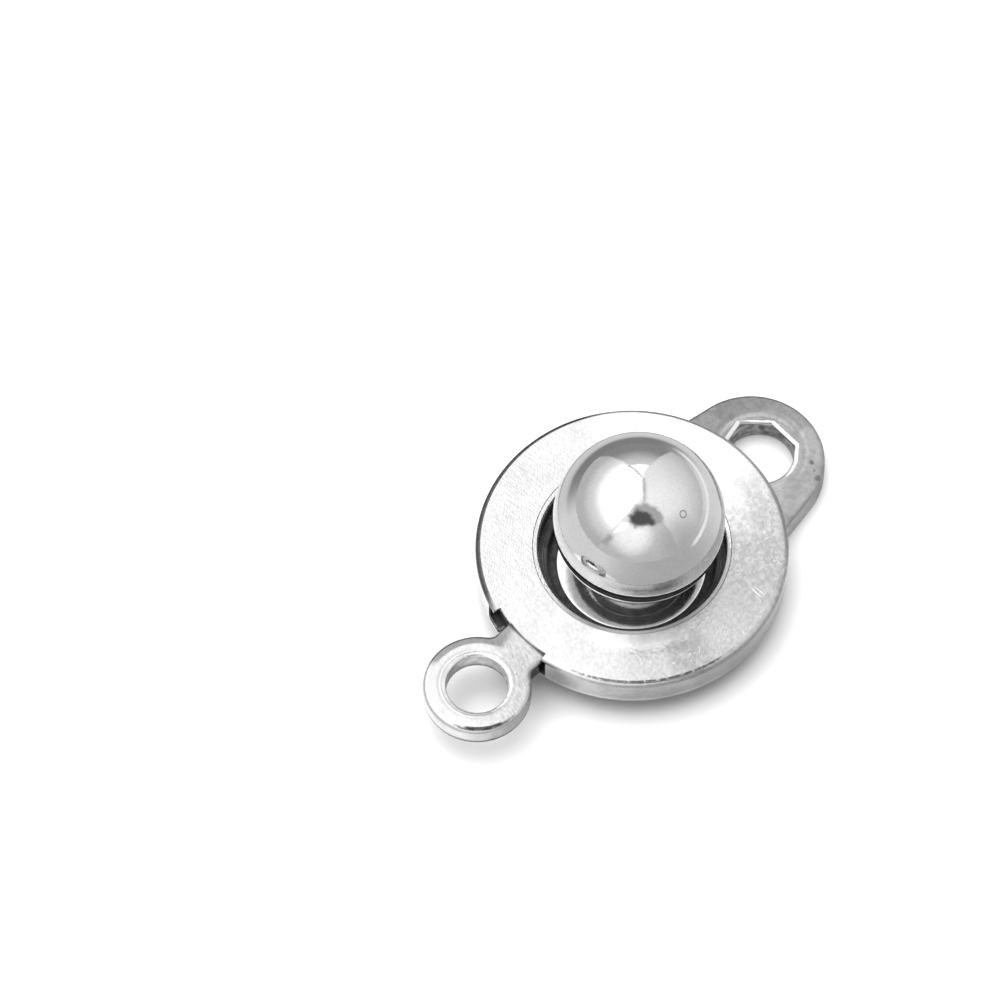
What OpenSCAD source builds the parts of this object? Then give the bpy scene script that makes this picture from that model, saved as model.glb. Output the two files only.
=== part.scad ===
// Snap button clasp, fastened: a stud half, with a ball on a flat plate, and a socket half that
// clicks round it. Millimetres, +Z up. The origin is on the underside of the stud plate, on the
// axis that the two halves turn about. +X runs along the clasp, towards the stud's tab.

/* [Stud plate] */
// Thickness of the stud plate
stud_plate_t = 0.85; // [0.7:0.05:1.2]
// Radius of the plate's round base, under the ball
stud_base_r = 2.95; // [2.6:0.05:3.2]
// Radius of the tab's round end
tab_r = 2.12; // [1.9:0.02:2.4]
// Distance from the turning axis to the middle of the tab's round end
tab_x = 4.95; // [4.9:0.05:6]
// Diameter of the eye in the tab
tab_eye_d = 2.02; // [1.4:0.02:2.2]
// Distance from the turning axis to the tab's eye
tab_eye_x = 5.25; // [5.15:0.01:5.5]
// Radius of the low round boss that carries the ball
boss_r = 2.19; // [1.6:0.01:2.25]
// Height of the boss above the plate
boss_h = 0.13; // [0.08:0.01:0.16]

/* [Ball] */
// Diameter of the polished ball
ball_d = 4.93; // [4.9:0.01:5.1]
// Height of the ball's middle above the housing's top face
ball_rise = 1.35; // [1.25:0.01:1.45]
// How far the ball sits off the turning axis, towards the tab
ball_shift = 0.25; // [0:0.01:0.3]
// Diameter of the shank that holds the ball in the plate
shank_d = 1; // [0.6:0.1:1.4]
// Depth of the shank's blind hole in the plate
shank_depth = 0.5; // [0.3:0.05:0.6]

/* [Housing] */
// Outer diameter of the round housing
housing_d = 9; // [8.9:0.02:9.6]
// Height of the housing's wall
housing_h = 1.07; // [1.05:0.01:1.4]
// Diameter of the hole that the ball stands through
hole_d = 5.4; // [5.3:0.02:5.5]
// Width of the bright bevel round that hole
hole_bevel = 0.16; // [0.06:0.01:0.18]
// Radius of the rounding along the housing's top edge
edge_round = 0.15; // [0.08:0.01:0.2]
// Thickness of the side wall
wall_t = 0.25; // [0.15:0.01:0.28]
// Thickness of the top sheet
sheet_t = 0.13; // [0.1:0.01:0.2]
// Width of the collar that is turned down inside the hole
collar_w = 0.2; // [0.15:0.01:0.22]
// Height of that collar, from the top face
collar_h = 0.5; // [0.3:0.02:0.54]
// Width of the lip that is turned in under the housing
lip_w = 1.2; // [1.05:0.05:1.3]
// Thickness of that lip
lip_t = 0.18; // [0.1:0.01:0.22]
// Angle that the wall is cut away for, on the neck's far (+Y) side
wall_far_deg = 20.4; // [14:0.1:30]
// Angle that the wall is cut away for, on the neck's near side
wall_near_deg = 11.7; // [11:0.1:30]
// Angle that the top sheet's edge is cut away for, on the far side
sheet_far_deg = 16.5; // [11:0.1:30]
// Angle that the top sheet's edge is cut away for, on the near side
sheet_near_deg = 10; // [9:0.1:30]

/* [Socket eye plate] */
// Radius of the round loop at the socket's end
loop_r = 1.55; // [1.4:0.01:1.9]
// Distance from the turning axis to the middle of the loop
loop_x = 6.22; // [6.2:0.02:7.2]
// Diameter of the eye in the loop
loop_eye_d = 1.78; // [1.2:0.02:1.9]
// Width of the neck between the housing and the loop
neck_w = 1.53; // [1.2:0.01:1.56]
// Radius of the inner corners where the neck meets the loop
neck_fillet = 0.3; // [0.1:0.05:0.4]
// Width of the bevel round both eyes
eye_bevel = 0.1; // [0.04:0.01:0.14]

/* [Spring ring] */
// Inner diameter of the spring ring, a little less than the ball's
spring_inner_d = 4.84; // [4.6:0.02:4.86]
// Outer diameter of the spring ring
spring_outer_d = 6.6; // [6.5:0.02:6.7]
// Thickness of the spring ring
spring_t = 0.22; // [0.15:0.01:0.25]
// Angle that the ring leaves open, on the tab's side
spring_open_deg = 34; // [15:1:60]

/* [Hidden] */
$fn = 96;

fit_gap = 0.02;      // between pieces that are pressed together
turn_gap = 0.05;     // between the two halves
plate_gap = 0.05;    // round the eye plate, inside the housing
pocket_gap = 0.08;   // round the spring ring, which has to open
sheet_cut_in = 0.08; // the top sheet is cut this far inside its rounding
neck_root = 0.4;     // how far the neck's outline runs into the eye plate's round
past = 1;            // how far a cutting shape runs past what it cuts

housing_r = housing_d / 2;
hole_r = hole_d / 2;
housing_z = stud_plate_t + turn_gap;
housing_top = housing_z + housing_h;
sheet_z = housing_top - sheet_t;
lip_top = housing_z + lip_t;
cavity_r = housing_r - wall_t;
lip_r = cavity_r - lip_w;
sheet_cut_r = housing_r - edge_round - sheet_cut_in;

eye_plate_z = lip_top + fit_gap;
eye_plate_t = sheet_z - fit_gap - eye_plate_z;
eye_plate_r = cavity_r - plate_gap;
eye_plate_bore_r = hole_r + collar_w + plate_gap;
spring_pocket_r = spring_outer_d / 2 + pocket_gap;
spring_pocket_h = spring_t + 2 * fit_gap;

ball_r = ball_d / 2;
ball_z = housing_top + ball_rise;
boss_top = stud_plate_t + boss_h;
ball_seat = boss_top + fit_gap;
shank_foot = boss_top - shank_depth;

steel = [0.80, 0.80, 0.81];
polished_steel = [0.88, 0.88, 0.89];
spring_steel = [0.62, 0.62, 0.63];

// Round base and smaller round end, joined by the two straight lines that touch both
module teardrop() {
    taper = asin((stud_base_r - tab_r) / tab_x);
    touch_base = stud_base_r * [sin(taper), cos(taper)];
    touch_end = [tab_x, 0] + tab_r * [sin(taper), cos(taper)];
    circle(r = stud_base_r);
    translate([tab_x, 0]) circle(r = tab_r);
    polygon([touch_base, touch_end, [touch_end.x, -touch_end.y], [touch_base.x, -touch_base.y]]);
}

// Straight bore with a bevelled upper edge, to cut through a plate
module bevelled_bore(d, bottom, top, bevel) {
    translate([0, 0, bottom - past]) cylinder(d = d, h = top - bottom + 2 * past);
    translate([0, 0, top - bevel]) cylinder(d1 = d, d2 = d + 4 * bevel, h = 2 * bevel);
}

module stud_plate() {
    color(steel) difference() {
        union() {
            linear_extrude(stud_plate_t) teardrop();
            cylinder(r = boss_r, h = boss_top);
        }
        translate([tab_eye_x, 0, 0]) bevelled_bore(tab_eye_d, 0, stud_plate_t, eye_bevel);
        translate([ball_shift, 0, shank_foot])
            cylinder(d = shank_d + 2 * fit_gap, h = boss_top - shank_foot + past);
    }
}

// Full sphere with a small flat where it sits on the boss, on a plain hidden shank
module ball() {
    color(polished_steel) translate([ball_shift, 0, 0]) {
        difference() {
            translate([0, 0, ball_z]) sphere(d = ball_d);
            translate([-ball_r, -ball_r, ball_seat - ball_d]) cube(ball_d);
        }
        translate([0, 0, shank_foot + fit_gap])
            cylinder(d = shank_d, h = ball_seat + past - shank_foot - fit_gap);
    }
}

// Half of the housing's section: top sheet, rounded edge, wall, turned-in lip and collar
module housing_section() {
    edge_r = housing_r - edge_round;
    edge_z = housing_top - edge_round;
    difference() {
        union() {
            translate([hole_r, housing_z]) square([housing_r - hole_r, edge_z - housing_z]);
            translate([hole_r, edge_z]) square([edge_r - hole_r, edge_round]);
            translate([edge_r, edge_z]) circle(r = edge_round);
        }
        translate([hole_r + collar_w, lip_top]) square([cavity_r - hole_r - collar_w, sheet_z - lip_top]);
        translate([hole_r - past, housing_z - past])
            square([lip_r - hole_r + past, lip_t + past]);
        translate([hole_r - past, housing_z])
            square([past + collar_w, housing_top - collar_h - housing_z]);
        translate([hole_r, housing_top - hole_bevel])
            polygon([[-past, -past], [hole_bevel + past, hole_bevel + past], [-past, hole_bevel + past]]);
    }
}

// Sweep of the shape given, from the far side of the neck round to its near side
module notch(far_deg, near_deg) {
    rotate(180 - far_deg) rotate_extrude(angle = far_deg + near_deg) children();
}

// Cup with a notch for the neck: the wall is cut away above the lip, wider than the rounded edge of
// the top sheet, so the lip still runs under the neck
module housing() {
    color(steel) difference() {
        rotate_extrude() housing_section();
        notch(wall_far_deg, wall_near_deg)
            translate([eye_plate_r, lip_top]) square([past, sheet_z - lip_top]);
        notch(sheet_far_deg, sheet_near_deg)
            translate([sheet_cut_r, sheet_z - past]) square([past, sheet_t + 2 * past]);
    }
}

// Inner corner between the neck's side and the loop, on the +Y side
module neck_corner() {
    middle = [sqrt(pow(loop_r + neck_fillet, 2) - pow(neck_w / 2 + neck_fillet, 2)),
              neck_w / 2 + neck_fillet];
    touch_loop = middle * loop_r / (loop_r + neck_fillet);
    difference() {
        polygon([[0, 0], [middle.x, 0], middle, touch_loop]);
        translate(middle) circle(r = neck_fillet);
    }
}

module loop_and_neck() {
    translate([-loop_x, 0]) {
        circle(r = loop_r);
        translate([0, -neck_w / 2]) square([loop_x - eye_plate_r + neck_root, neck_w]);
        neck_corner();
        mirror([0, 1]) neck_corner();
    }
}

module socket_eye_plate() {
    top = eye_plate_z + eye_plate_t;
    color(steel) difference() {
        translate([0, 0, eye_plate_z]) linear_extrude(eye_plate_t) {
            circle(r = eye_plate_r);
            loop_and_neck();
        }
        translate([0, 0, eye_plate_z - past]) cylinder(r = eye_plate_bore_r, h = eye_plate_t + 2 * past);
        translate([0, 0, eye_plate_z - past]) cylinder(r = spring_pocket_r, h = spring_pocket_h + past);
        translate([-loop_x, 0, 0]) bevelled_bore(loop_eye_d, eye_plate_z, top, eye_bevel);
    }
}

module spring_ring() {
    color(spring_steel) translate([0, 0, eye_plate_z]) rotate(spring_open_deg / 2)
        rotate_extrude(angle = 360 - spring_open_deg)
            translate([spring_inner_d / 2, 0]) square([(spring_outer_d - spring_inner_d) / 2, spring_t]);
}

housing();
socket_eye_plate();
spring_ring();
stud_plate();
ball();
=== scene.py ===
from math import asin, atan2, cos, degrees, pi, radians, sin, sqrt

import bmesh
import bpy
from mathutils import Matrix, Vector


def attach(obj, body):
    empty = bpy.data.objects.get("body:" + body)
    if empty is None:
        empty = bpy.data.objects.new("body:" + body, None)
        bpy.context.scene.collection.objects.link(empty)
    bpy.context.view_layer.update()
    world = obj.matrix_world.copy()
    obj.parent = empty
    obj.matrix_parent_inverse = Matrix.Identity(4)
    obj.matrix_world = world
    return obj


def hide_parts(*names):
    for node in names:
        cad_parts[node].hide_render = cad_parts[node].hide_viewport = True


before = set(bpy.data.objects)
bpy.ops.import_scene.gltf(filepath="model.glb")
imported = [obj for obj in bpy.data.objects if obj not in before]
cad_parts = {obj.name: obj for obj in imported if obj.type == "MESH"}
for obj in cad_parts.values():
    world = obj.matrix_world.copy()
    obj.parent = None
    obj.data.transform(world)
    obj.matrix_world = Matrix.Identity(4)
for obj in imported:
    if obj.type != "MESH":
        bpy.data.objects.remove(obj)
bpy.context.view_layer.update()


# Camera: close up and high, looking down across the clasp with the loop at its lower left. The lens
# is long, so the clasp's near and far ends look almost the same size.
view_azimuth = radians(-44.14)
view_elevation = radians(61.6)
view_roll = radians(-0.36)
view_distance = 0.2
view_aim = Vector((-0.001660, 0.003720, 0.001970))

level_right = Vector((cos(view_azimuth), sin(view_azimuth), 0))
back = Vector((sin(view_azimuth) * cos(view_elevation), -cos(view_azimuth) * cos(view_elevation),
               sin(view_elevation)))
level_up = back.cross(level_right)
right = cos(view_roll) * level_right + sin(view_roll) * level_up
up = cos(view_roll) * level_up - sin(view_roll) * level_right
camera = bpy.data.objects.new("camera", bpy.data.cameras.new("camera"))
camera.data.lens = 250.1
camera.data.sensor_width = 36
camera.data.clip_start = 0.001
camera.matrix_world = Matrix.LocRotScale(view_aim + view_distance * back,
                                         Matrix((right, up, back)).transposed(), None)
bpy.context.collection.objects.link(camera)
bpy.context.scene.camera = camera
bpy.context.scene.view_settings.view_transform = "Standard"


# Light tent: white cloth walls lit from outside. The wall on the camera's left is the brightest,
# the far horizon is dim, and a dark gap is left open for the lens. Turns are counted in degrees
# from the camera's right towards the far side, and rises up from the floor.
def add_node(tree, kind, inputs=None, **settings):
    """Adds one shader node, with its inputs filled by values or by other nodes' outputs."""
    made = tree.nodes.new("ShaderNode" + kind)
    for setting, value in settings.items():
        setattr(made, setting, value)
    for socket, value in (inputs or {}).items():
        if isinstance(value, bpy.types.NodeSocket):
            tree.links.new(value, made.inputs[socket])
        else:
            made.inputs[socket].default_value = value
    return made


def ramp(tree, value, low, high, to_low=0.0, to_high=1.0):
    """Smooth step of a value from one level to another."""
    return add_node(tree, "MapRange", {"Value": value, "From Min": low, "From Max": high,
                                       "To Min": to_low, "To Max": to_high},
                    interpolation_type="SMOOTHSTEP").outputs["Result"]


def combine(tree, operation, levels):
    """Joins levels by one operation. Each level is a number or a node's output."""
    joined = levels[0]
    for level in levels[1:]:
        joined = add_node(tree, "Math", {0: joined, 1: level}, operation=operation).outputs[0]
    return joined


def product(tree, *levels):
    """Product of several levels."""
    return combine(tree, "MULTIPLY", levels)


def total(tree, *levels):
    """Sum of several levels."""
    return combine(tree, "ADD", levels)


def blend(tree, mask, outside, within):
    """One level outside a mask, and another one within it."""
    return add_node(tree, "Mix", {0: mask, 2: outside, 3: within}).outputs[0]


def reach_along(tree, vector, axis):
    """How far a vector reaches along an axis."""
    return add_node(tree, "VectorMath", {0: vector, 1: axis}, operation="DOT_PRODUCT").outputs["Value"]


def tent_point(turn, rise):
    """Direction from the clasp to a point on the tent."""
    return Vector((cos(radians(rise)) * cos(radians(turn)), cos(radians(rise)) * sin(radians(turn)),
                   sin(radians(rise))))


def hang_panel(tree, direction, light, corners, level, soft):
    """Covers the tent so far with a panel that has straight edges between its corners."""
    points = [tent_point(turn, rise) for turn, rise in corners]
    middle = sum(points, Vector())
    sides = []
    for here, there in zip(points, points[1:] + points[:1]):
        inward = here.cross(there).normalized()
        if inward.dot(middle) < 0:
            inward.negate()
        sides.append(ramp(tree, reach_along(tree, direction, inward), -soft, soft))
    return blend(tree, product(tree, *sides), light, level)


def patch(tree, direction, turn, rise, width, beyond, inside):
    """One level beyond a soft round patch of the tent, and another one at its middle."""
    reach = reach_along(tree, direction, tent_point(turn, rise))
    return ramp(tree, reach, cos(radians(width)), 1.0, beyond, inside)


world = bpy.data.worlds.new("light_tent")
world.use_nodes = True
tent = world.node_tree
tent.nodes.clear()
ray = add_node(tent, "TexCoord").outputs["Generated"]
direction = add_node(tent, "VectorRotate", {"Vector": ray, "Angle": -view_azimuth},
                     rotation_type="Z_AXIS").outputs[0]
height = add_node(tent, "SeparateXYZ", {0: direction}).outputs["Z"]

# Cloth walls, then the seams, folds and gussets between them, from the back to the front
right_wall = ramp(tent, height, -0.3, 1.2, 0.62, 1.35)
left_wall = total(tent, ramp(tent, height, 0.15, 0.45, 0.66, 0.95),
                  ramp(tent, height, 0.42, 0.74, 0.0, 0.9))
near_wall = total(tent, ramp(tent, height, 0.0, 1.0, 0.70, 0.92),
                  patch(tent, direction, 256, 37, 34, 0.0, 0.55))
far_horizon = ramp(tent, height, 0.20, 0.72, 0.34, 0.95)
left_corners = [(310, 82), (79, 62), (95, -20), (160, -20), (224, -20), (229, 51)]
near_corners = [(224, -20), (320, -20), (317, 31), (318, 46), (260, 58), (229, 51)]
far_corners = [(104, 42), (73, 41), (64, -12), (122, -12)]
roof_strip = [(84, 63), (72, 63), (338, 80), (294, 80)]
roof_seam = [(80.5, 62.8), (75.4, 62.8), (326, 81), (305, 81)]
far_gusset = [(102.5, 41), (76, 41), (83, 61)]
dim_fold = [(231, 26), (223, 27), (219, 10), (227, 9)]
left_seam = [(106, 42), (103, 40.5), (80.5, 61.5), (84, 62.5)]
near_gusset = [(227, 30), (231, 47.5), (250, 53), (244, 45), (236, 37)]
light = right_wall
for corners, level, soft in ((left_corners, left_wall, 0.01), (near_corners, near_wall, 0.02),
                             (far_corners, far_horizon, 0.02), (roof_strip, 1.0, 0.05),
                             (roof_seam, 0.74, 0.012), (far_gusset, 1.8, 0.008),
                             (dim_fold, 0.55, 0.045), (left_seam, 0.78, 0.012),
                             (near_gusset, 1.8, 0.008)):
    light = hang_panel(tent, direction, light, corners, level, soft)

# Gap for the lens, with frayed edges
fray = 0.16
gap_softness = 0.06
drift = add_node(tent, "TexNoise", {"Vector": direction, "Scale": 6.0, "Detail": 1.5}).outputs["Color"]
frayed = add_node(tent, "VectorMath", {0: drift, 1: (fray, fray, fray), 2: direction},
                  operation="MULTIPLY_ADD").outputs[0]
frayed = add_node(tent, "VectorMath", {0: frayed, 1: (fray / 2, fray / 2, fray / 2)},
                  operation="SUBTRACT").outputs[0]
gap_edge = [(255, 81), (322, 77), (328, 60), (320, 44), (274, 48), (250, 50), (237, 58)]
gap_middle = [(252, 73), (285, 79), (301, 64), (319, 50), (294, 48.5), (274, 49.5), (250, 52), (241, 60)]
light = hang_panel(tent, frayed, light, gap_edge, 0.58, gap_softness)
light = hang_panel(tent, frayed, light, gap_middle, 0.12, gap_softness)
light = product(tent, light, patch(tent, direction, 322, 18, 34, 1.0, 0.80))
light = blend(tent, ramp(tent, height, -0.12, -0.02), 0.95, light)

# The camera sees plain white behind the floor's edge
backdrop = add_node(tent, "LightPath").outputs["Is Camera Ray"]
strength = blend(tent, backdrop, light, 1.0)
background = add_node(tent, "Background", {"Color": (1, 1, 1, 1), "Strength": strength})
add_node(tent, "OutputWorld", {"Surface": background.outputs[0]})
bpy.context.scene.world = world

# One soft lamp, nearly overhead, for the shadow round the clasp
from_camera = Matrix.Rotation(view_azimuth, 3, "Z")
lamp_side = from_camera @ tent_point(150, 80)
lamp = bpy.data.objects.new("soft_lamp", bpy.data.lights.new("soft_lamp", "SUN"))
lamp.data.energy = 4.5
lamp.data.angle = radians(60)
lamp.rotation_euler = Vector((0, 0, 1)).rotation_difference(lamp_side).to_euler()
lamp.visible_glossy = False
bpy.context.collection.objects.link(lamp)


# Floor: a plain pale sheet that the stud plate lies flat on. Away from the clasp it carries painted shade
# that only the steel's reflections show, so the steel mirrors it darker than it looks straight on, most of
# all at its far end and on the camera's side. A painted paler arc lies to its right, where the tent's
# light falls between them. Its sizes are in metres.
floor_half = 1.0
beside_housing = 0.0056
beside_loop = 0.0026
loop_middle = (-0.00622, 0, 0)
beside_fade = 0.0008
paper_colour = 0.6


def below(tree, value, full, none):
    """1 below one limit, falling to 0 at another."""
    return ramp(tree, value, full, none, 1.0, 0.0)


def band(tree, value, start, full, fading, end):
    """1 between two limits, with a soft step at each."""
    return product(tree, ramp(tree, value, start, full), below(tree, value, fading, end))


def highest(tree, *levels):
    """The highest of several levels."""
    return combine(tree, "MAXIMUM", levels)


def distance(tree, where, point):
    """Distance of the surface from a point."""
    return add_node(tree, "VectorMath", {0: where, 1: point}, operation="DISTANCE").outputs["Value"]


def floor_side(tree, heading, turn, wide, narrow, beyond, inside):
    """One level on the floor's side at a turn, and another one beyond it."""
    reach = reach_along(tree, heading, from_camera @ tent_point(turn, 0))
    return ramp(tree, reach, cos(radians(wide)), cos(radians(narrow)), beyond, inside)


bm = bmesh.new()
bmesh.ops.create_grid(bm, x_segments=1, y_segments=1, size=floor_half)
floor = bpy.data.objects.new("floor", bpy.data.meshes.new("floor"))
bm.to_mesh(floor.data)
bm.free()
bpy.context.collection.objects.link(floor)
paper = bpy.data.materials.new("pale_paper")
paper.use_nodes = True
tree = paper.node_tree
shader = tree.nodes["Principled BSDF"]
shader.inputs["Roughness"].default_value = 0.9
shader.inputs["Specular IOR Level"].default_value = 0.1
place = add_node(tree, "TexCoord").outputs["Object"]
heading = add_node(tree, "VectorMath", {0: place}, operation="NORMALIZE").outputs[0]
away = distance(tree, place, (0, 0, 0))
from_loop = distance(tree, place, loop_middle)
beside = highest(tree, below(tree, away, beside_housing, beside_housing + beside_fade),
                 below(tree, from_loop, beside_loop, beside_loop + beside_fade))
farther = product(tree, 0.36, floor_side(tree, heading, 300, 80, 0, 1.0, 0.62))
close_by = product(tree, 0.60, floor_side(tree, heading, 300, 80, 0, 1.0, 0.42))
reflected_floor_shade = blend(tree, beside, farther, close_by)
spared = product(tree, ramp(tree, away, 0.0062, 0.0075), ramp(tree, away, 0.011, 0.020, 0.8, 0.0))
far_end = floor_side(tree, heading, 108, 70, 25, 1.0, 0.30)
reflected_floor_shade = product(tree, reflected_floor_shade, blend(tree, spared, far_end, 1.0))
pale_arc = product(tree, band(tree, away, 0.019, 0.025, 0.038, 0.052),
                   floor_side(tree, heading, 18, 58, 36, 0.0, 0.46))
reflected_floor_shade = highest(tree, reflected_floor_shade, pale_arc)
in_steel = add_node(tree, "LightPath").outputs["Is Glossy Ray"]
tree.links.new(blend(tree, in_steel, paper_colour, reflected_floor_shade), shader.inputs["Base Color"])
floor.data.materials.append(paper)


# Ball: the stud that snaps into the spring ring. Solid stainless steel, turned and polished to a
# mirror, with a small flat under it and a plain shank pressed into the stud plate.
ball_r = 2.465
ball_x = 0.25
ball_z = 3.32
ball_seat_z = 1.0
shank_r = 0.5
shank_foot_z = 0.5
dried_drop = (0.47, -1.5, 5.26)


def bare_steel(name):
    """Bare steel, and millimetre coordinates for the patterns of its finish."""
    material = bpy.data.materials.new(name)
    material.use_nodes = True
    tree = material.node_tree
    tree.nodes["Principled BSDF"].inputs["Metallic"].default_value = 1.0
    tree.nodes["Principled BSDF"].inputs["Specular IOR Level"].default_value = 0.15
    metres = add_node(tree, "TexCoord").outputs["Object"]
    where = add_node(tree, "Mapping", {"Vector": metres, "Scale": (1000, 1000, 1000)}).outputs[0]
    return material, tree, where


def clouds(tree, where, size, detail, low, high):
    """Irregular patches of about the given size, between two levels."""
    noise = add_node(tree, "TexNoise", {"Vector": where, "Scale": 1 / size, "Detail": detail}).outputs[0]
    return ramp(tree, noise, 0.33, 0.67, low, high)


def spot(tree, where, point, inner, outer, inside=1.0, beyond=0.0):
    """One level near a point, and another one away from it."""
    return ramp(tree, distance(tree, where, point), inner, outer, inside, beyond)


def tint(tree, mask, factor, full=1.0):
    """A factor where a mask is full, and 1 outside the mask."""
    return ramp(tree, mask, 0.0, full, 1.0, factor)


def finish_steel(tree, colour, roughness, microns, metallic_lowered_in_shade=None):
    """Gives the steel its colour, roughness and fine relief, and how metallic it is: less so where painted
    shade darkens it.
    """
    micron = 0.000001
    bump = add_node(tree, "Bump", {"Height": microns, "Distance": micron})
    shader = tree.nodes["Principled BSDF"]
    if metallic_lowered_in_shade:
        tree.links.new(metallic_lowered_in_shade, shader.inputs["Metallic"])
    tree.links.new(colour, shader.inputs["Base Color"])
    tree.links.new(roughness, shader.inputs["Roughness"])
    tree.links.new(bump.outputs[0], shader.inputs["Normal"])


def finish_piece(name, bm, material, body, node):
    """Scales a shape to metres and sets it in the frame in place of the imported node."""
    millimetre = 0.001
    sharp_angle = radians(40)
    bmesh.ops.scale(bm, vec=(millimetre, millimetre, millimetre), verts=bm.verts)
    for face in bm.faces:
        face.smooth = True
    for edge in bm.edges:
        edge.smooth = edge.calc_face_angle(0) < sharp_angle
    piece = bpy.data.objects.new(name, bpy.data.meshes.new(name))
    bm.to_mesh(piece.data)
    bm.free()
    bpy.context.collection.objects.link(piece)
    piece.data.materials.append(material)
    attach(piece, body)
    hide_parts(node)
    return piece


# Mirror finish, with the small ring that a dried drop left on it
mirror_steel, tree, where = bare_steel("mirror_steel")
drop_edge = product(tree, spot(tree, where, dried_drop, 0.06, 0.10, 0.0, 1.0),
                    spot(tree, where, dried_drop, 0.10, 0.14))
colour = product(tree, clouds(tree, where, 0.8, 3, 0.65, 0.69), clouds(tree, where, 0.07, 2, 0.96, 1.03),
                 tint(tree, drop_edge, 0.45))
roughness = clouds(tree, where, 0.6, 3, 0.04, 0.075)
microns = total(tree, clouds(tree, where, 0.11, 2, 0.0, 0.25), clouds(tree, where, 0.7, 2, 0.0, 0.8),
                ramp(tree, drop_edge, 0.0, 1.0, 0.0, 2.0))
finish_steel(tree, colour, roughness, microns)

bm = bmesh.new()
bmesh.ops.create_uvsphere(bm, u_segments=160, v_segments=80, radius=ball_r)
bmesh.ops.translate(bm, vec=(ball_x, 0, ball_z), verts=bm.verts)
cut = bmesh.ops.bisect_plane(bm, geom=bm.verts[:] + bm.edges[:] + bm.faces[:],
                             plane_co=(0, 0, ball_seat_z), plane_no=(0, 0, 1), clear_inner=True)
seat_edges = [e for e in cut["geom_cut"] if isinstance(e, bmesh.types.BMEdge)]
seat = bmesh.ops.edgeloop_fill(bm, edges=seat_edges)
seat_r = sqrt(ball_r ** 2 - (ball_z - ball_seat_z) ** 2)
bmesh.ops.inset_region(bm, faces=seat["faces"], thickness=seat_r - shank_r)
shank = bmesh.ops.extrude_face_region(bm, geom=seat["faces"])
shank_end = [v for v in shank["geom"] if isinstance(v, bmesh.types.BMVert)]
bmesh.ops.translate(bm, vec=(0, 0, shank_foot_z - ball_seat_z), verts=shank_end)
bmesh.ops.delete(bm, geom=seat["faces"], context="FACES_ONLY")
bmesh.ops.recalc_face_normals(bm, faces=bm.faces)
ball = finish_piece("polished_ball", bm, mirror_steel, "stud", "ball")


# Stud plate: a flat teardrop punched from thick stainless sheet and tumbled to a dull grey. A low
# polished boss carries the ball at one end, and the narrow end is a tab with a bevelled eye.
plate_t = 0.85
base_r = 2.95
tab_r = 2.12
tab_x = 4.95
tab_eye_x = 5.25
tab_eye_r = 1.01
tab_eye_bevel = 0.115
tab_eye_groove = 0.30
boss_r = 2.19
boss_top_z = 0.98
plate_edge_r = 0.12
shank_hole_r = 0.52
shank_hole_z = 0.48
covered_r = 3.3
tab_eye_top = (tab_eye_x, 0, plate_t)
round_pit = (6.10, -1.31, plate_t)
small_pit = (5.95, -1.55, plate_t)
deep_pit = (5.85, -1.80, plate_t)


def round_loop(bm, arcs, z):
    """Closed loop of arcs joined by straight lines. An arc is middle x, middle y, radius, start, sweep."""
    outline = bmesh.new()
    ends = []
    for x, y, radius, start_deg, sweep_deg in arcs:
        start = (x + radius * cos(radians(start_deg)), y + radius * sin(radians(start_deg)), z)
        first = outline.verts.new(start)
        swept = bmesh.ops.spin(outline, geom=[first], cent=(x, y, z), axis=(0, 0, 1),
                               angle=radians(sweep_deg), steps=max(4, round(abs(sweep_deg) / 2.5)),
                               use_merge=sweep_deg == 360)
        ends.append((first, swept["geom_last"][0]))
    if len(arcs) > 1:
        for (_, last), (first, _) in zip(ends, ends[1:] + ends[:1]):
            outline.edges.new((last, first))
    bmesh.ops.remove_doubles(outline, verts=outline.verts, dist=0.004)
    drawn = bpy.data.meshes.new("outline")
    outline.to_mesh(drawn)
    outline.free()
    known = set(bm.edges)
    bm.from_mesh(drawn)
    bpy.data.meshes.remove(drawn)
    return [e for e in bm.edges if e not in known]


def rounding(radius, steps=7):
    """Inset and drop of each step round a quarter turn, from the flat face to the side wall."""
    turns = [pi / 2 * step / steps for step in range(steps + 1)]
    return [(radius * (1 - sin(turn)), radius * (1 - cos(turn))) for turn in turns]


def skin(bm, loops):
    """Joins each loop to the next one with a band of faces."""
    for here, there in zip(loops, loops[1:]):
        bmesh.ops.bridge_loops(bm, edges=here + there)


def cap(bm, loops, border=0.06):
    """Fills the flat face between an outline and the holes in it, with a narrow border all round."""
    filled = bmesh.ops.triangle_fill(bm, edges=[e for loop in loops for e in loop], use_beauty=True,
                                     normal=(0, 0, 1))
    faces = [f for f in filled["geom"] if isinstance(f, bmesh.types.BMFace)]
    bmesh.ops.inset_region(bm, faces=faces, thickness=border, use_boundary=True, use_even_offset=True)


def flat_normals(piece):
    """Keeps the broad flats flat where they run into their narrow roundings."""
    weighted = piece.modifiers.new("flat_normals", "WEIGHTED_NORMAL")
    weighted.weight = 100
    weighted.keep_sharp = True


def teardrop(inset):
    """Arcs of the stud plate's outline, drawn in by inset."""
    taper = degrees(asin((base_r - tab_r) / tab_x))
    return [(tab_x, 0, tab_r - inset, taper - 90, 180 - 2 * taper),
            (0, 0, base_r - inset, 90 - taper, 180 + 2 * taper)]


def circle(x, radius):
    """A full circle about a point on the long axis, as the one arc of an outline."""
    return [(x, 0, radius, 0, 360)]


def punched_circle(x, radius):
    """A circle whose far side was torn to nearly straight lines as the eye was punched."""
    corner_r = 0.02
    arcs = []
    for turn, out in ((-32, 1.02), (23, 0.97), (75, 1.07)):
        far = out * radius
        arcs.append((x + far * cos(radians(turn)), far * sin(radians(turn)), corner_r, turn - 25, 50))
    return arcs + [(x, 0, radius, 120, 182)]


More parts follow.
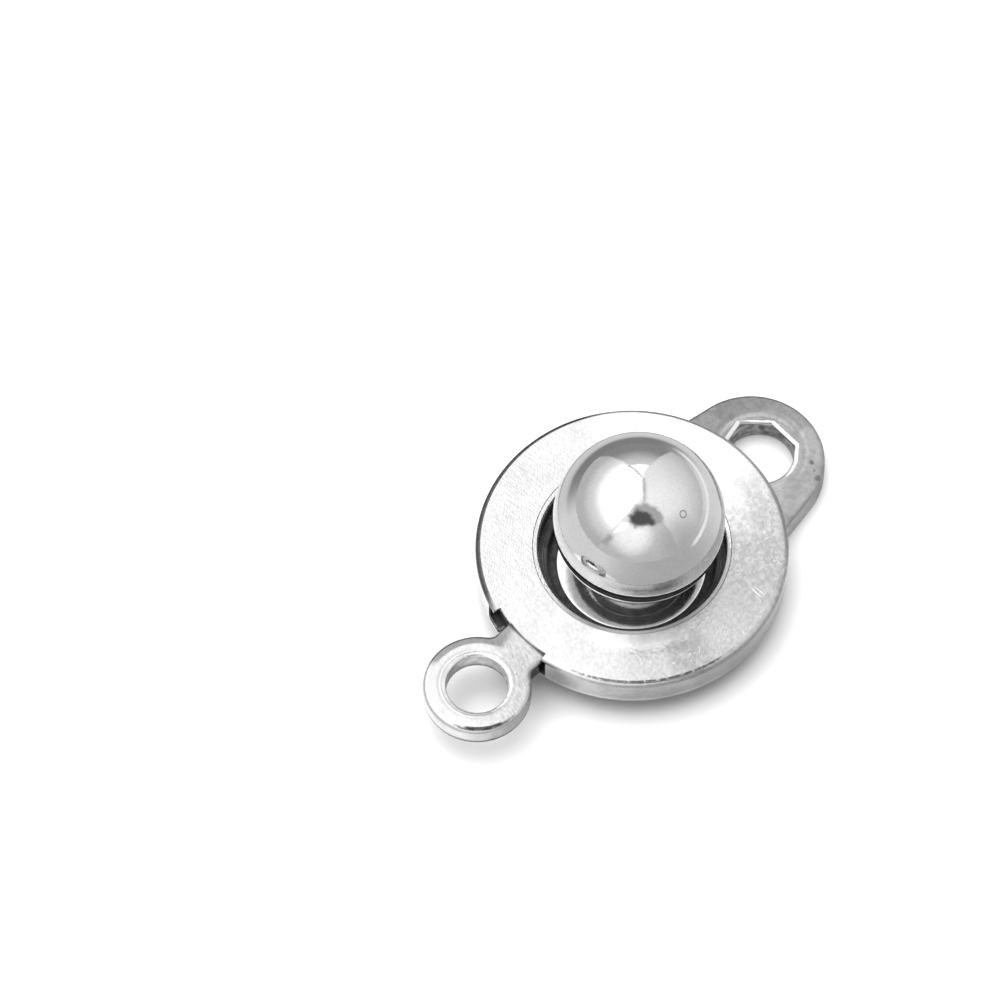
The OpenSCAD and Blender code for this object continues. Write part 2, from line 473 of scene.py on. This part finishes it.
def plate_sides(bm, outline, bottom_z, top_z, edge_r):
    """Side wall with round edges, from the top flat's border to the bottom flat's."""
    steps = rounding(edge_r)
    loops = [round_loop(bm, outline(inset), top_z - drop) for inset, drop in steps]
    loops += [round_loop(bm, outline(inset), bottom_z + drop) for inset, drop in reversed(steps)]
    skin(bm, loops)
    return loops[0], loops[-1]


def eye_sides(bm, x, radius, bottom_z, top_z, bevel, groove, lip=circle):
    """Wall of an eye: a shallow groove round it, a bevel with soft creases, and a rounded foot."""
    soft = 0.03
    foot_r = 0.16
    # Outline, distance out from the eye's wall and drop from the top face, for each loop
    steps = [(circle, bevel + groove, 0),
             (circle, bevel + groove * 0.85, groove * 0.045),
             (circle, bevel + groove * 0.70, groove * 0.060),
             (circle, bevel + groove * 0.50, groove * 0.015),
             (circle, bevel + groove * 0.30, groove * 0.010),
             (lip, bevel + soft, 0.005),
             (lip, bevel + soft * 0.3, 0.010),
             (lip, bevel - soft * 0.5, 0.016),
             (lip, soft, 0.034),
             (lip, soft * 0.4, 0.046),
             (lip, 0, 0.075),
             (circle, 0, 0.15)]
    loops = [round_loop(bm, shape(x, radius + out), top_z - drop) for shape, out, drop in steps]
    loops += [round_loop(bm, circle(x, radius + inset), bottom_z + drop)
              for inset, drop in reversed(rounding(foot_r, 5))]
    skin(bm, loops)
    return loops[0], loops[-1]


def flattened(tree, where, x):
    """Place on the surface as seen from above, counted from x on the long axis."""
    return add_node(tree, "VectorMath", {0: where, 1: (1, 1, 0), 2: (-x, 0, 0)},
                    operation="MULTIPLY_ADD").outputs[0]


def upright(tree, where, x=0):
    """Distance of the surface from an upright line at x on the long axis."""
    flat = flattened(tree, where, x)
    return add_node(tree, "VectorMath", {0: flat}, operation="LENGTH").outputs["Value"]


def toward(tree, where, polar, width, inside=1.0, beyond=0.0, x=0):
    """One level on the side of a polar angle about x on the long axis, and another one beyond it."""
    flat = flattened(tree, where, x)
    heading = add_node(tree, "VectorMath", {0: flat}, operation="NORMALIZE").outputs[0]
    reach = reach_along(tree, heading, (cos(radians(polar)), sin(radians(polar)), 0))
    return ramp(tree, reach, cos(radians(width)), 1.0, beyond, inside)


tumbled_steel, tree, where = bare_steel("tumbled_steel")
height = add_node(tree, "SeparateXYZ", {0: where}).outputs["Z"]
off_eye = upright(tree, where, tab_eye_x)
on_boss = ramp(tree, height, plate_t + 0.01, plate_t + 0.05)
on_bevel = product(tree, below(tree, off_eye, tab_eye_r + 0.22, tab_eye_r + 0.25),
                   band(tree, height, plate_t - 0.09, plate_t - 0.06, plate_t - 0.010, plate_t - 0.005))
in_eye = product(tree, below(tree, off_eye, tab_eye_r + 0.11, tab_eye_r + 0.12),
                 below(tree, height, plate_t - 0.09, plate_t - 0.06))
polished = highest(tree, on_boss, on_bevel)

# Dull top face, with a painted highlight on a swelling round the eye, painted shade towards the tab's far
# edge, and three pits near the tab's end, darkened by painted shade
far_ridge_highlight = product(tree, toward(tree, where, 52, 75, 1.6, x=tab_eye_x),
                       band(tree, off_eye, tab_eye_r + 0.16, tab_eye_r + 0.21, tab_eye_r + 0.26,
                            tab_eye_r + 0.34))
eye_ridge_highlight = product(tree, spot(tree, where, tab_eye_top, tab_eye_r + 0.35, tab_eye_r + 0.45, 1.12, 1.0),
                   tint(tree, far_ridge_highlight, 1.45))
dull = product(tree, clouds(tree, where, 0.7, 3, 0.27, 0.33), clouds(tree, where, 0.16, 3, 0.92, 1.07),
               clouds(tree, where, 0.05, 1, 0.94, 1.05), eye_ridge_highlight,
               spot(tree, where, (6.10, 1.9, plate_t), 0.4, 3.2, 0.80, 1.12),
               spot(tree, where, round_pit, 0.03, 0.09, 0.5, 1.0),
               spot(tree, where, small_pit, 0.02, 0.06, 0.6, 1.0),
               spot(tree, where, deep_pit, 0.04, 0.12, 0.55, 1.0))

# Rough wall of the eye, with painted shade at its foot and its top and a painted glint just above the
# foot, and the face shut in by the housing, painted near black as shade
wall = product(tree, clouds(tree, where, 0.22, 3, 0.15, 0.42), clouds(tree, where, 0.06, 2, 0.85, 1.15),
               ramp(tree, height, 0.03, 0.10, 0.05, 1.0), ramp(tree, height, 0.10, 0.22, 2.0, 1.0),
               ramp(tree, height, plate_t - 0.16, plate_t - 0.10, 1.0, 0.45))
colour = blend(tree, in_eye, dull, wall)
colour = blend(tree, polished, colour, clouds(tree, where, 0.25, 3, 0.62, 0.72))
shut_in = product(tree, below(tree, upright(tree, where), covered_r, covered_r + 0.2),
                  ramp(tree, height, plate_t - 0.15, plate_t - 0.05), below(tree, on_boss, 0.0, 1.0))
painted_shade_under_housing = product(tree, clouds(tree, where, 0.3, 2, 0.025, 0.05), clouds(tree, where, 0.04, 2, 0.8, 1.3))
colour = blend(tree, shut_in, colour, painted_shade_under_housing)
roughness = total(tree, blend(tree, polished, clouds(tree, where, 0.2, 3, 0.32, 0.44),
                              clouds(tree, where, 0.2, 3, 0.05, 0.09)),
                  product(tree, on_boss, clouds(tree, where, 0.3, 3, 0.02, 0.07)))
tumbling = total(tree, clouds(tree, where, 0.22, 3, 0.0, 3.5), clouds(tree, where, 0.06, 2, 0.0, 1.2),
                 spot(tree, where, round_pit, 0.02, 0.10, -18.0),
                 spot(tree, where, deep_pit, 0.03, 0.13, -20.0))
microns = blend(tree, polished, tumbling, clouds(tree, where, 0.15, 2, 0.0, 0.4))
# Less metallic where the shut-in face is painted near black as shade
metallic_lowered_in_shade = product(tree, tint(tree, shut_in, 0.1), tint(tree, on_boss, 0.93))
finish_steel(tree, colour, roughness, microns, metallic_lowered_in_shade)

bm = bmesh.new()
top_rim, bottom_rim = plate_sides(bm, teardrop, 0, plate_t, plate_edge_r)
eye_top, eye_bottom = eye_sides(bm, tab_eye_x, tab_eye_r, 0, plate_t, tab_eye_bevel, tab_eye_groove,
                                punched_circle)

# The boss: inset and drop of each ring, from its flat middle down to its foot
boss_dome = [(0.45, 0), (0.36, 0.003), (0.27, 0.008), (0.18, 0.014), (0.10, 0.021), (0.05, 0.027),
             (0.02, 0.034), (0.008, 0.045), (0, 0.13)]
boss_loops = [round_loop(bm, circle(0, boss_r - inset), boss_top_z - drop) for inset, drop in boss_dome]
skin(bm, boss_loops)
shank_hole = [round_loop(bm, circle(ball_x, shank_hole_r), z) for z in (boss_top_z, shank_hole_z)]
skin(bm, shank_hole)
cap(bm, [top_rim, eye_top, boss_loops[-1]])
cap(bm, [boss_loops[0], shank_hole[0]])
cap(bm, [shank_hole[1]])
cap(bm, [bottom_rim, eye_bottom])
bmesh.ops.recalc_face_normals(bm, faces=bm.faces)
stud_plate = finish_piece("stud_plate_steel", bm, tumbled_steel, "stud", "stud_plate")
flat_normals(stud_plate)


# Housing: a shallow cup pressed from thin stainless sheet. Its top has a bevelled hole that is
# turned down into a collar, and its wall ends in a turned-in lip and is cut away for the neck.
housing_r = 4.5
housing_bottom_z = 0.90
housing_top_z = 1.97
hole_r = 2.70
hole_bevel = 0.165
top_edge_r = 0.15
bottom_edge_r = 0.14
wall_t = 0.25
sheet_t = 0.13
collar_w = 0.20
collar_bottom_z = 1.47
lip_inner_r = 3.05
lip_t = 0.18
wall_notch_deg = (159.6, 191.7)
wall_cut_r = 4.20
sheet_notch_deg = (163.5, 190.0)
sheet_cut_r = 4.27

crease_r = hole_r + hole_bevel
brow_r = housing_r - top_edge_r
cavity_r = housing_r - wall_t
sheet_z = housing_top_z - sheet_t
lip_top_z = housing_bottom_z + lip_t


def cut_away(bm, cutter):
    """Takes one closed shape out of another."""
    objects = []
    for shape in (bm, cutter):
        part = bpy.data.objects.new("blank", bpy.data.meshes.new("blank"))
        shape.to_mesh(part.data)
        bpy.context.collection.objects.link(part)
        objects.append(part)
    blank, tool = objects
    cut = blank.modifiers.new("cut", "BOOLEAN")
    cut.operation = "DIFFERENCE"
    cut.solver = "EXACT"
    cut.object = tool
    result = blank.evaluated_get(bpy.context.evaluated_depsgraph_get())
    bm.clear()
    bm.from_mesh(result.to_mesh())
    cutter.free()
    for part in objects:
        bpy.data.meshes.remove(part.data)


def turned(section_bm, start_deg, sweep_deg, steps):
    """Turns the section about the axis into a ring, or into an arc with closed ends."""
    full = sweep_deg == 360
    if full:
        bmesh.ops.delete(section_bm, geom=section_bm.faces[:], context="FACES_ONLY")
    bmesh.ops.rotate(section_bm, cent=(0, 0, 0), matrix=Matrix.Rotation(radians(start_deg), 3, "Z"),
                     verts=section_bm.verts)
    bmesh.ops.spin(section_bm, geom=section_bm.verts[:] + section_bm.edges[:] + section_bm.faces[:],
                   cent=(0, 0, 0), axis=(0, 0, 1), angle=radians(sweep_deg), steps=steps, use_merge=full)
    bmesh.ops.recalc_face_normals(section_bm, faces=section_bm.faces)
    return section_bm


def section(corners, softened):
    """Flat section from corners (radius, height), some of them softened, each by its own radius."""
    bm = bmesh.new()
    bm.faces.new([bm.verts.new((r, 0, z)) for r, z in corners])
    for (r, z), radius in softened:
        at = [v for v in bm.verts if (v.co - Vector((r, 0, z))).length < 1e-6]
        bmesh.ops.bevel(bm, geom=at, affect="VERTICES", offset=radius, segments=6, profile=0.5,
                        material=-1)
    return bm


def strokes(tree, where, turn, length, width, low, high):
    """Short strokes that lie on the level faces, turned from the long axis."""
    laid = add_node(tree, "Mapping", {"Vector": where, "Rotation": (0, 0, radians(turn)),
                                      "Scale": (length, width, width)},
                    vector_type="TEXTURE").outputs[0]
    return clouds(tree, laid, 1, 1, low, high)


def scratch(tree, where, x, y, turn, length, width):
    """One straight scratch on the top face, 1 along its middle and 0 beside it."""
    laid = add_node(tree, "Mapping", {"Vector": where, "Location": (x, y, housing_top_z),
                                      "Rotation": (0, 0, radians(turn)),
                                      "Scale": (length / 2, width / 2, 1)},
                    vector_type="TEXTURE").outputs[0]
    reach = add_node(tree, "VectorMath", {0: laid}, operation="LENGTH").outputs["Value"]
    return below(tree, reach, 0.4, 1.0)


def fine_rings(tree, radius, height, width, low, high):
    """Fine rings round the axis, as turning or wear leaves them."""
    profile = add_node(tree, "CombineXYZ", {"X": radius, "Y": height}).outputs[0]
    return clouds(tree, profile, width, 1, low, high)


pressed_steel, tree, where = bare_steel("pressed_steel")
radius = upright(tree, where)
height = add_node(tree, "SeparateXYZ", {0: where}).outputs["Z"]
inside = product(tree, below(tree, height, sheet_z - 0.02, sheet_z + 0.05),
                 below(tree, radius, cavity_r - 0.03, cavity_r + 0.03))
on_wall = product(tree, below(tree, height, housing_top_z - 0.21, housing_top_z - 0.15),
                  ramp(tree, radius, brow_r + 0.05, brow_r + 0.13))
on_bevel = below(tree, radius, crease_r - 0.03, crease_r - 0.01)

# Top face: worn on the near right side, where painted shade greys it, and painted paler, as light, beside
# the hole and on the far right
worn_and_shaded_side = toward(tree, where, -78, 78)
grey_band = product(tree, toward(tree, where, -110, 12), clouds(tree, where, 0.3, 3, 0.3, 1.0))
smeared = product(tree, toward(tree, where, -45, 42, 1.2), clouds(tree, where, 0.16, 3, 0.0, 1.0))
lit_right = product(tree, toward(tree, where, -14, 32, 1.4),
                    below(tree, radius, hole_r + 0.6, hole_r + 1.1))
lit = highest(tree, toward(tree, where, 26, 44, 1.4), lit_right)
near_hole = product(tree, toward(tree, where, -128, 36), below(tree, radius, hole_r + 0.3, hole_r + 0.9))
face = product(tree, clouds(tree, where, 0.9, 3, 0.58, 0.63), clouds(tree, where, 0.14, 3, 0.94, 1.04),
               tint(tree, worn_and_shaded_side, 0.74), tint(tree, grey_band, 0.75),
               toward(tree, where, -131, 8, 0.95, 1.0), ramp(tree, smeared, 0.0, 0.9, 1.04, 0.86),
               tint(tree, lit, 1.22), tint(tree, near_hole, 1.55, 0.7))

# Rounded edge of the top face, with dark reflections painted along it
far_edge = product(tree, toward(tree, where, 110, 64), ramp(tree, radius, brow_r - 0.01, brow_r + 0.04))
right_edge = product(tree, toward(tree, where, 0, 62, 1.6),
                     ramp(tree, radius, brow_r - 0.01, brow_r + 0.07))
near_edge = product(tree, toward(tree, where, -128, 38, 1.6), clouds(tree, where, 0.22, 3, 0.1, 1.3),
                    band(tree, radius, brow_r - 0.015, brow_r + 0.01, brow_r + 0.035, brow_r + 0.07))
face = product(tree, face, tint(tree, far_edge, 0.17, 0.5), tint(tree, right_edge, 0.60),
               tint(tree, near_edge, 0.25, 0.8))

# Bright flecks, scratches and bevel
scratches = highest(tree, scratch(tree, where, 1.45, -3.55, 89, 0.50, 0.05),
                    scratch(tree, where, 1.56, -3.60, 90, 0.42, 0.04),
                    scratch(tree, where, 2.95, -2.10, 62, 0.35, 0.03),
                    scratch(tree, where, -1.05, -3.75, 40, 0.30, 0.03))
specks = add_node(tree, "TexNoise", {"Vector": where, "Scale": 13.0}).outputs[0]
flecks = product(tree, worn_and_shaded_side, clouds(tree, where, 0.8, 2, 0.0, 0.6), ramp(tree, specks, 0.58, 0.70))
face = blend(tree, highest(tree, flecks, on_bevel, scratches), face, 0.70)

# Wall with a painted highlight line near its foot, painted shade at its very foot and beside the neck,
# and the hollows on both sides of the neck painted near black as shade, with a painted glint where the
# lip's end shows pale
foot_line = band(tree, height, housing_bottom_z + 0.06, housing_bottom_z + 0.12,
                 housing_bottom_z + 0.20, housing_bottom_z + 0.28)
wall = product(tree, clouds(tree, where, 0.8, 3, 0.63, 0.75), clouds(tree, where, 0.12, 3, 0.92, 1.05),
               spot(tree, where, (-4.25, -1.35, 1.4), 0.1, 0.7, 0.72, 1.0), tint(tree, foot_line, 1.3),
               ramp(tree, height, housing_bottom_z + 0.03, housing_bottom_z + 0.07, 0.5, 1.0))
hollow = product(tree, highest(tree, spot(tree, where, (-4.14, 1.42, 1.15), 0.30, 0.46),
                               spot(tree, where, (-4.42, -0.80, 1.15), 0.15, 0.26)),
                 below(tree, height, sheet_z, sheet_z + 0.06),
                 below(tree, radius, brow_r + 0.09, brow_r + 0.13))
lip_end = spot(tree, where, (-4.28, 1.24, 1.08), 0.04, 0.12, 1.9, 1.0)
colour = product(tree, blend(tree, on_wall, face, wall), tint(tree, hollow, 0.08), lip_end)
# Inside the cup, painted near black as shade, with fine rings
colour = blend(tree, inside, colour,
               product(tree, 0.035, fine_rings(tree, radius, height, 0.035, 0.5, 1.9)))

# Grain all over, brushing on the far left side and small dents on the near side
roughness = total(tree, clouds(tree, where, 0.35, 3, 0.18, 0.25),
                  ramp(tree, near_hole, 0.0, 1.0, 0.0, 0.10), ramp(tree, on_bevel, 0.0, 1.0, 0.0, -0.12),
                  ramp(tree, inside, 0.0, 1.0, 0.0, 0.25))
grain = product(tree, clouds(tree, where, 0.10, 3, 0.0, 2.2), ramp(tree, worn_and_shaded_side, 0.0, 0.8, 0.6, 1.0),
                tint(tree, near_hole, 0.35, 0.6))
brushing = product(tree, toward(tree, where, 120, 60),
                   ramp(tree, height, housing_top_z - 0.17, housing_top_z - 0.05, 0.25, 1.0),
                   total(tree, strokes(tree, where, 96, 0.35, 0.045, 0.0, 4.5),
                         strokes(tree, where, 38, 0.25, 0.04, 0.0, 3.0)))
dented = highest(tree, spot(tree, where, (-2.30, -2.60, housing_top_z), 0.1, 0.45),
                 spot(tree, where, (-1.50, -3.20, housing_top_z), 0.1, 0.50),
                 spot(tree, where, (-0.30, -3.20, housing_top_z), 0.2, 0.80))
dents = product(tree, dented, tint(tree, near_hole, 0.1, 0.6), clouds(tree, where, 0.10, 2, 0.0, 1.6))
microns = total(tree, grain, brushing, dents, product(tree, scratches, -3.0))
finish_steel(tree, colour, roughness, microns, tint(tree, highest(tree, inside, hollow), 0.1))

top_outer = (housing_r, housing_top_z)
bottom_outer = (housing_r, housing_bottom_z)
crease = (crease_r, housing_top_z)
crease_foot = (crease_r - 0.014, housing_top_z - 0.018)
bevel_brow = (hole_r + 0.03, housing_top_z - 0.028)
bevel_foot = (hole_r, housing_top_z - 0.10)
collar_foot = (hole_r, collar_bottom_z)
housing_section = section([top_outer, (brow_r - 0.04, housing_top_z), (crease_r + 0.04, housing_top_z),
                           crease, crease_foot, bevel_brow, bevel_foot, collar_foot,
                           (hole_r + collar_w, collar_bottom_z), (hole_r + collar_w, sheet_z),
                           (cavity_r, sheet_z), (cavity_r, lip_top_z), (lip_inner_r, lip_top_z),
                           (lip_inner_r, housing_bottom_z), bottom_outer],
                          [(top_outer, top_edge_r), (bottom_outer, bottom_edge_r), (crease, 0.006),
                           (crease_foot, 0.006), (bevel_brow, 0.025), (bevel_foot, 0.03),
                           (collar_foot, 0.04)])
housing_bm = turned(housing_section, 0, 360, 200)

# The notch: wide in the wall and narrower in the top sheet, cut by wedges that run past the cup
past = 1
outer_r = housing_r + past
for (start_deg, end_deg), inner_r, low_z, high_z in (
        (wall_notch_deg, wall_cut_r, lip_top_z, sheet_z),
        (sheet_notch_deg, sheet_cut_r, sheet_z - 0.01, housing_top_z + past)):
    wedge = section([(inner_r, low_z), (outer_r, low_z), (outer_r, high_z), (inner_r, high_z)], [])
    cut_away(housing_bm, turned(wedge, start_deg, end_deg - start_deg, 24))
housing = finish_piece("housing_cup", housing_bm, pressed_steel, "socket", "housing")
flat_normals(housing)


# Socket eye plate: a flat ring of thick stainless sheet inside the housing, with a neck that comes
# out through the notch and ends in a round loop. Its loop is tumbled round and its eye is bevelled.
socket_z = 1.10
socket_top_z = 1.82
ring_r = 4.20
ring_bore_r = 2.95
pocket_r = 3.38
pocket_top_z = 1.36
loop_r = 1.55
loop_x = -6.22
loop_eye_r = 0.89
loop_eye_bevel = 0.11
loop_eye_groove = 0.12
neck_half = 0.765
neck_fillet = 0.3
loop_edge_r = 0.13


def socket_outline(inset):
    """Arcs of the ring, neck and loop, drawn in by inset; the two inner corners turn the other way."""
    corner_y = neck_half + neck_fillet
    corner_x = sqrt((loop_r + neck_fillet) ** 2 - corner_y ** 2)
    spread = degrees(atan2(corner_y, corner_x))
    root = degrees(asin((neck_half - inset) / (ring_r - inset)))
    return [(0, 0, ring_r - inset, 180 + root, 360 - 2 * root),
            (loop_x + corner_x, corner_y, neck_fillet + inset, -90, spread - 90),
            (loop_x, 0, loop_r - inset, spread, 360 - 2 * spread),
            (loop_x + corner_x, -corner_y, neck_fillet + inset, 180 - spread, spread - 90)]


rubbed_steel, tree, where = bare_steel("rubbed_steel")
off_eye = upright(tree, where, loop_x)
height = add_node(tree, "SeparateXYZ", {0: where}).outputs["Z"]
along = add_node(tree, "SeparateXYZ", {0: where}).outputs["X"]
in_eye = product(tree, below(tree, off_eye, loop_eye_r + 0.19, loop_eye_r + 0.20),
                 below(tree, height, socket_top_z - 0.09, socket_top_z - 0.06))
on_bevel = product(tree, below(tree, off_eye, loop_eye_r + 0.10, loop_eye_r + 0.12),
                   ramp(tree, height, socket_top_z - 0.09, socket_top_z - 0.06))

# Top face and side: mottled near the neck, where painted shade also darkens it, with painted shade and
# painted dark reflections along parts of the loop's rounded edge, on its near right side and at the foot
# of its side
patchy_and_shaded = spot(tree, where, (-5.2, -0.9, socket_top_z), 0.5, 2.2)
speckle = ramp(tree, patchy_and_shaded, 0.0, 1.0, 0.35, 1.0)
mottling = product(tree, speckle, clouds(tree, where, 0.13, 3, -0.09, 0.06))
far_rim = product(tree, toward(tree, where, 61, 58, 1.8, x=loop_x),
                  ramp(tree, off_eye, loop_r - 0.32, loop_r - 0.13))
near_rim = product(tree, toward(tree, where, -126, 46, 1.5, x=loop_x),
                   band(tree, off_eye, loop_r - 0.15, loop_r - 0.11, loop_r - 0.08, loop_r - 0.04),
                   clouds(tree, where, 0.2, 3, 0.1, 1.2),
                   ramp(tree, height, socket_top_z - 0.12, socket_top_z - 0.08))
dark_streak = product(tree, toward(tree, where, -127, 27, 1.8, x=loop_x),
                      band(tree, off_eye, loop_r - 0.19, loop_r - 0.15, loop_r - 0.11, loop_r - 0.07),
                      clouds(tree, where, 0.35, 3, 0.5, 1.2))
grey_side = product(tree, toward(tree, where, -80, 58, 1.5, x=loop_x),
                    ramp(tree, off_eye, loop_r - 0.05, loop_r - 0.01),
                    clouds(tree, where, 0.3, 3, 0.6, 1.1),
                    below(tree, height, socket_top_z - 0.18, socket_top_z - 0.10))
face = product(tree, clouds(tree, where, 0.5, 3, 0.60, 0.66), total(tree, mottling, 1.0),
               tint(tree, patchy_and_shaded, 0.76), tint(tree, far_rim, 0.42, 0.8), tint(tree, near_rim, 0.35),
               tint(tree, dark_streak, 0.15), tint(tree, grey_side, 0.68),
               ramp(tree, height, socket_z + 0.12, socket_z + 0.26, 0.12, 1.0))

# Wall of the eye with painted shade at its foot and on one side, its bevel painted bright as a highlight,
# and painted shade, near black, where the plate runs into the housing
wall = product(tree, clouds(tree, where, 0.2, 3, 0.38, 0.58),
               spot(tree, where, (-6.90, 0.62, 1.4), 0.3, 1.3, 0.3, 1.15),
               ramp(tree, height, socket_z + 0.10, socket_z + 0.30, 0.25, 1.0))
colour = blend(tree, in_eye, face, wall)
colour = blend(tree, on_bevel, colour, clouds(tree, where, 0.25, 3, 0.66, 0.80))
shut_in = product(tree, ramp(tree, along, -cavity_r - 0.07, -cavity_r - 0.01),
                  clouds(tree, where, 0.3, 2, 0.8, 1.0))
near_corner = product(tree, spot(tree, where, (-4.66, -0.80, 1.3), 0.42, 0.60),
                      below(tree, height, socket_top_z - 0.12, socket_top_z - 0.06))
colour = product(tree, blend(tree, shut_in, colour, 0.05), tint(tree, near_corner, 0.10))
roughness = clouds(tree, where, 0.3, 3, 0.20, 0.30)
microns = total(tree, product(tree, speckle, clouds(tree, where, 0.20, 3, 0.0, 4.0)),
                clouds(tree, where, 0.06, 2, 0.0, 0.8),
                product(tree, patchy_and_shaded, strokes(tree, where, 75, 0.22, 0.07, 0.0, 4.0)))
finish_steel(tree, colour, roughness, microns, tint(tree, shut_in, 0.1))

bm = bmesh.new()
top_rim, bottom_rim = plate_sides(bm, socket_outline, socket_z, socket_top_z, loop_edge_r)
eye_top, eye_bottom = eye_sides(bm, loop_x, loop_eye_r, socket_z, socket_top_z, loop_eye_bevel,
                                loop_eye_groove)
bore = [round_loop(bm, circle(0, ring_bore_r), z) for z in (socket_top_z, pocket_top_z)]
pocket = [round_loop(bm, circle(0, pocket_r), z) for z in (pocket_top_z, socket_z)]
skin(bm, bore)
skin(bm, pocket)
cap(bm, [top_rim, eye_top, bore[0]])
cap(bm, [bore[1], pocket[0]])
cap(bm, [bottom_rim, eye_bottom, pocket[1]])
bmesh.ops.recalc_face_normals(bm, faces=bm.faces)
eye_plate = finish_piece("socket_loop_plate", bm, rubbed_steel, "socket", "socket_eye_plate")
flat_normals(eye_plate)


# Spring ring: an open ring of flat spring steel in the eye plate's pocket, which snaps round the
# ball. It is punched and hardened, and painted nearly black as the shade inside the housing, with fine
# rings worn into it.
spring_inner_r = 2.42
spring_outer_r = 3.30
spring_z = 1.10
spring_top_z = 1.32
spring_open_deg = 34
spring_edge_r = 0.05

spring_steel, tree, where = bare_steel("hardened_steel")
radius = upright(tree, where)
height = add_node(tree, "SeparateXYZ", {0: where}).outputs["Z"]
rings = fine_rings(tree, radius, height, 0.03, 0.6, 1.8)
colour = product(tree, clouds(tree, where, 0.5, 3, 0.035, 0.055), rings)
roughness = clouds(tree, where, 0.3, 3, 0.26, 0.36)
microns = total(tree, product(tree, rings, 1.2), clouds(tree, where, 0.1, 2, 0.0, 1.5))
finish_steel(tree, colour, roughness, microns, clouds(tree, where, 0.6, 3, 0.4, 0.8))

corners = [(spring_inner_r, spring_z), (spring_outer_r, spring_z), (spring_outer_r, spring_top_z),
           (spring_inner_r, spring_top_z)]
spring_section = section(corners, [(corner, spring_edge_r) for corner in corners])
spring_bm = turned(spring_section, spring_open_deg / 2, 360 - spring_open_deg, 160)
spring = finish_piece("spring_wire", spring_bm, spring_steel, "socket", "spring_ring")
flat_normals(spring)
